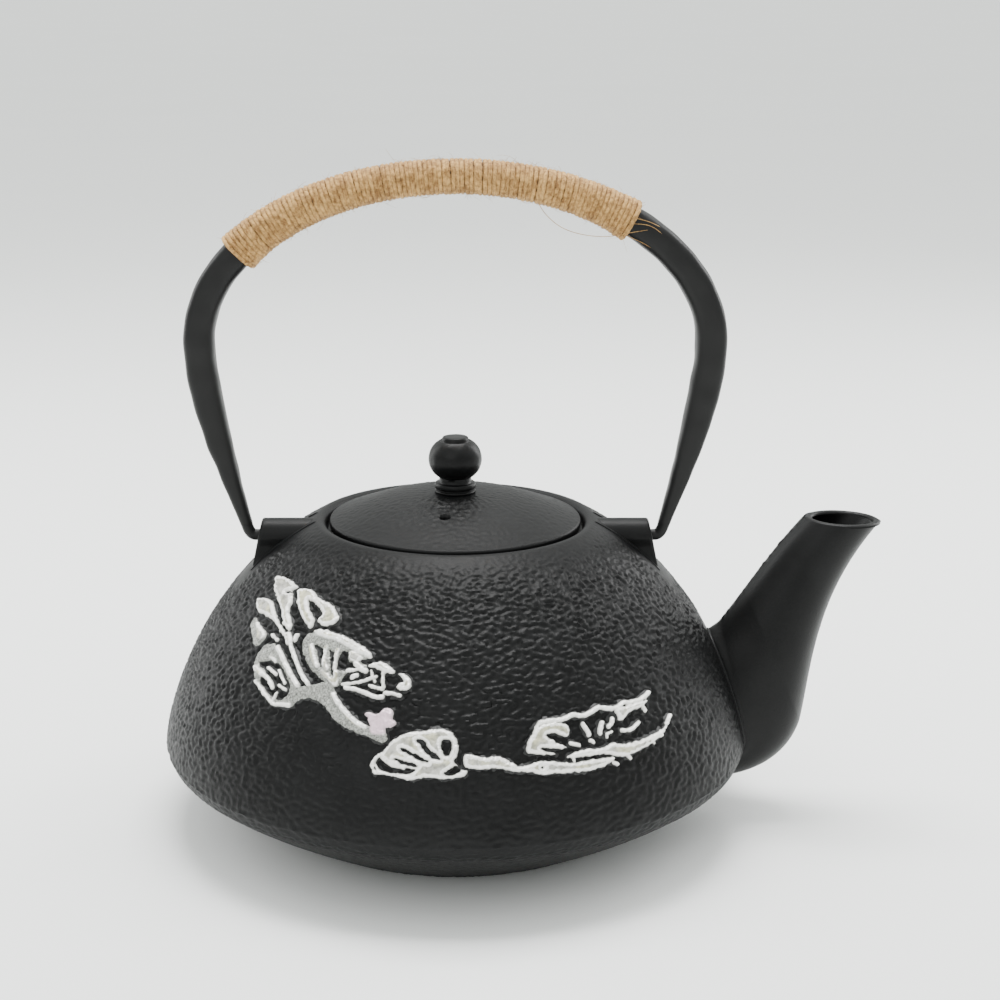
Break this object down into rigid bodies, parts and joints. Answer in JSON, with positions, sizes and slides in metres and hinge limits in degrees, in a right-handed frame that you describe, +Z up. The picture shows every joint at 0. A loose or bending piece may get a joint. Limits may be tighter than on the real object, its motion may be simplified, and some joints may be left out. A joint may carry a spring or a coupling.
{
  "type": "teapot",
  "caption": "Cast-iron teapot with a wide belly, an angled spout, a twine-wrapped swinging bail handle, a lift-off lid and a steel infuser.",
  "frame": {"origin": "centre of the pot's flat base, on the pot's axis", "axes": "+Z up along the pot's axis, +X towards the spout, the bail handle standing in the XZ plane"},
  "size_m": [0.2194, 0.1794, 0.2033],
  "materials": {
    "iron": "satin black enamel over wrinkled cast iron",
    "forged_iron": "smooth satin black",
    "silver_paint": "brushed silver and white over raised relief",
    "jute": "natural twisted jute twine",
    "steel": "stainless, brushed"
  },
  "bodies": {
    "pot": {"pot_body": "iron", "spout": "iron", "lug_front": "iron", "lug_rear": "iron", "pine_relief": "silver_paint"},
    "lid": {"lid": "iron", "knob_collar": "iron", "lid_knob": "iron", "knob_screw": "steel", "knob_washer": "steel"},
    "handle": {"handle_bar": "forged_iron", "handle_wrap": "jute"},
    "infuser": {"infuser_rim": "steel", "infuser_mesh": "steel", "infuser_base": "steel"}
  },
  "joints": [
    {"name": "handle_swing", "type": "hinge", "parent": "pot", "child": "handle", "pos_m": [0, 0, 0.0891], "axis": [1, 0, 0], "range_deg": [-115, 115]},
    {"name": "lid_lift", "type": "slide", "parent": "pot", "child": "lid", "axis": [0, 0, 1], "range_m": [0, 0.065]},
    {"name": "infuser_lift", "type": "slide", "parent": "pot", "child": "infuser", "axis": [0, 0, 1], "range_m": [0, 0.052]}
  ],
  "couplings": [
    {"joint": "infuser_lift", "follows": "lid_lift", "ratio": 0.8}
  ]
}
